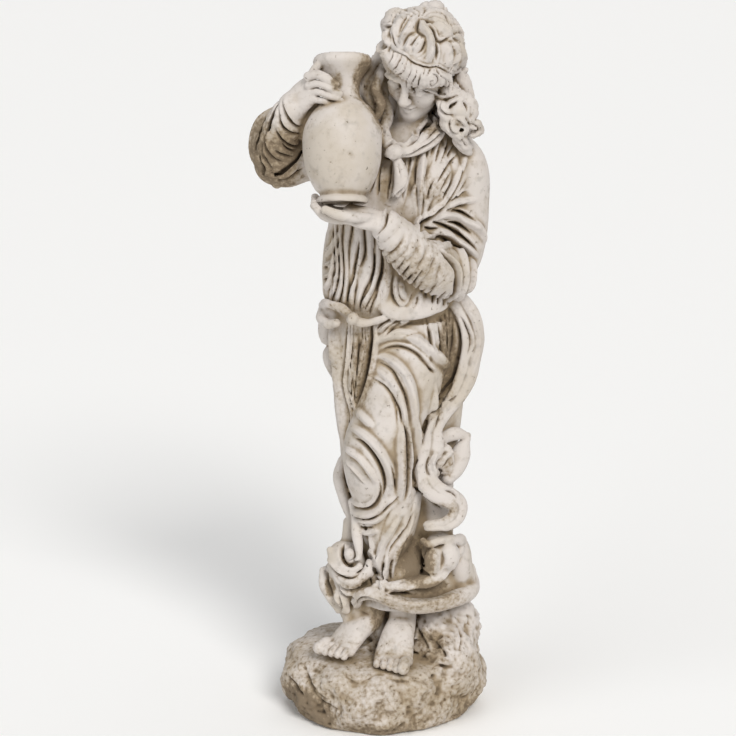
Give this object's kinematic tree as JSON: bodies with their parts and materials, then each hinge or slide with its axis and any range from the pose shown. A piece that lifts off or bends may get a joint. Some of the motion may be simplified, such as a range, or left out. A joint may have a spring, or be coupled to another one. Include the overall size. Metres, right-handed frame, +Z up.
{
  "type": "garden statue of a woman carrying a water jug",
  "caption": "Cast stone garden statue of a draped, barefoot woman who carries a water jug at her right shoulder, standing on a rock.",
  "frame": {"origin": "the middle of the rock's flat underside, which the statue stands on", "axes": "+Z up; she faces -Y, so +X is her left"},
  "size_m": [0.2744, 0.223, 0.8391],
  "materials": {
    "cast_stone": "matt pale cast stone with a brown antique wash left in the folds and on the rock"
  },
  "bodies": {
    "root": {"statue": "cast_stone"}
  },
  "joints": []
}
